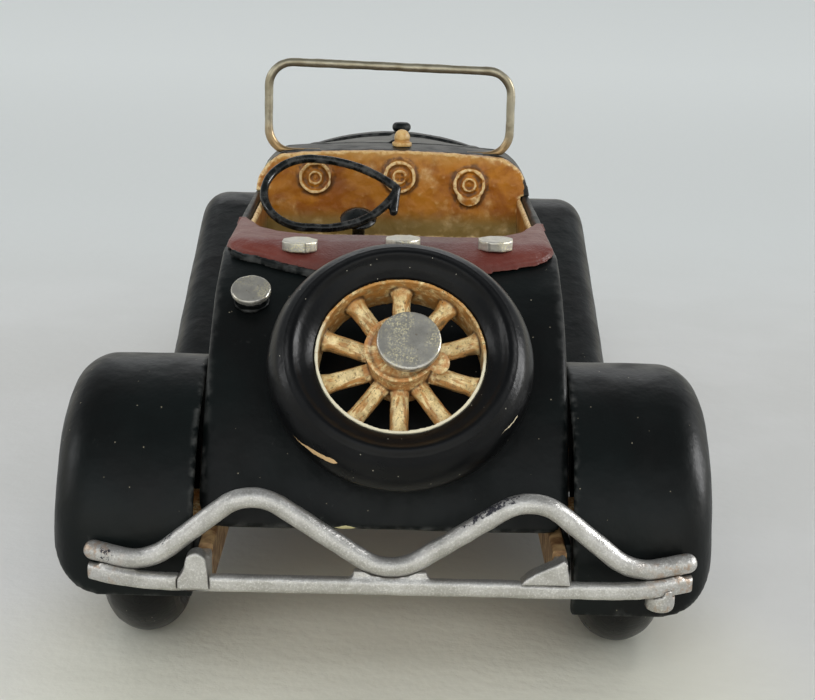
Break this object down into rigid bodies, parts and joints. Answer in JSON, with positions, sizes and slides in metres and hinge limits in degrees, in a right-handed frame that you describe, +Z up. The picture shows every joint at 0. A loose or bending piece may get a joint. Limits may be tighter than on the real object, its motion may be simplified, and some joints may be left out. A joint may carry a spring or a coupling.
{
  "type": "friction tin car",
  "caption": "Open toy roadster with a friction motor on its front axle, spoked wheels, a spare on the sloping tail and humped bumpers.",
  "frame": {"origin": "on the ground, midway between the faces of the two bumpers and between the wings", "axes": "+X to the car's nose, +Y to its left, +Z up"},
  "size_m": [0.198, 0.0852, 0.0732],
  "materials": {
    "black_enamel": "semi-gloss hand-painted black with worn edges",
    "antique_cream": "cream paint under an ochre-brown wash",
    "frame_brown": "cream paint under a heavy brown wash",
    "maroon_leather": "red-brown, creased, semi-gloss",
    "black_tyre": "smooth satin black",
    "silver_paint": "silver paint over a sandy casting, worn to black",
    "bare_steel": "old plated steel, lightly pitted",
    "brass": "plain stamped brass",
    "lamp_glass": "clear pressed glass"
  },
  "bodies": {
    "car": {"body_shell": "black_enamel", "bonnet": "black_enamel", "bumper_brackets": "silver_paint", "cockpit_liner": "antique_cream", "cowl_boss": "antique_cream", "cross_members": "frame_brown", "dashboard": "antique_cream", "deck_pad": "maroon_leather", "deck_pad_bead": "black_enamel", "deck_pad_studs": "bare_steel", "filler_cap": "bare_steel", "filler_neck": "black_enamel", "floor_pan": "frame_brown", "frame_rail_left": "frame_brown", "frame_rail_right": "frame_brown", "frame_screws": "bare_steel", "front_bumper_lower_bar": "silver_paint", "front_bumper_upper_bar": "silver_paint", "front_fender_left": "black_enamel", "front_fender_right": "black_enamel", "headlamp_bar": "black_enamel", "headlamp_lenses": "lamp_glass", "headlamp_shells": "silver_paint", "motor_plates": "bare_steel", "motor_spacers": "bare_steel", "radiator_cap": "black_enamel", "radiator_grille": "silver_paint", "radiator_shell": "black_enamel", "rear_bumper_lower_bar": "silver_paint", "rear_bumper_upper_bar": "silver_paint", "rear_fender_left": "black_enamel", "rear_fender_right": "black_enamel", "running_board_left": "black_enamel", "running_board_right": "black_enamel", "seat_back": "maroon_leather", "seat_cushion": "maroon_leather", "spare_nail": "bare_steel", "spare_tyre": "black_tyre", "spare_wheel": "antique_cream", "windscreen_frame": "bare_steel"},
    "rear_wheels": {"rear_axle": "bare_steel", "rear_hub_caps": "bare_steel", "rear_tyre_left": "black_tyre", "rear_tyre_right": "black_tyre", "rear_wheel_left": "antique_cream", "rear_wheel_right": "antique_cream"},
    "front_wheels": {"front_axle": "bare_steel", "front_hub_caps": "bare_steel", "front_tyre_left": "black_tyre", "front_tyre_right": "black_tyre", "front_wheel_left": "antique_cream", "front_wheel_right": "antique_cream", "axle_gear": "brass"},
    "idler": {"idler_shaft_pinion": "bare_steel", "idler_gear": "brass"},
    "flywheel_set": {"flywheel_shaft_pinion": "bare_steel", "flywheel": "brass"},
    "steering": {"steering_column": "black_enamel", "steering_wheel": "black_enamel"}
  },
  "joints": [
    {"name": "rear_axle_spin", "type": "hinge", "parent": "car", "child": "rear_wheels", "pos_m": [-0.072, 0, 0.01725], "axis": [0, 1, 0], "continuous": true},
    {"name": "front_axle_spin", "type": "hinge", "parent": "car", "child": "front_wheels", "pos_m": [0.066, 0, 0.01725], "axis": [0, 1, 0], "continuous": true},
    {"name": "idler_spin", "type": "hinge", "parent": "car", "child": "idler", "pos_m": [0.05773, 0, 0.02419], "axis": [0, 1, 0], "continuous": true},
    {"name": "flywheel_spin", "type": "hinge", "parent": "car", "child": "flywheel_set", "pos_m": [0.04758, 0, 0.02789], "axis": [0, 1, 0], "continuous": true},
    {"name": "steering_turn", "type": "hinge", "parent": "car", "child": "steering", "pos_m": [-0.0145, 0.0056, 0.0484], "axis": [0.6428, 0, -0.766], "range_deg": [0, 25]}
  ],
  "couplings": [
    {"joint": "idler_spin", "follows": "front_axle_spin", "ratio": -3},
    {"joint": "flywheel_spin", "follows": "front_axle_spin", "ratio": 9}
  ]
}
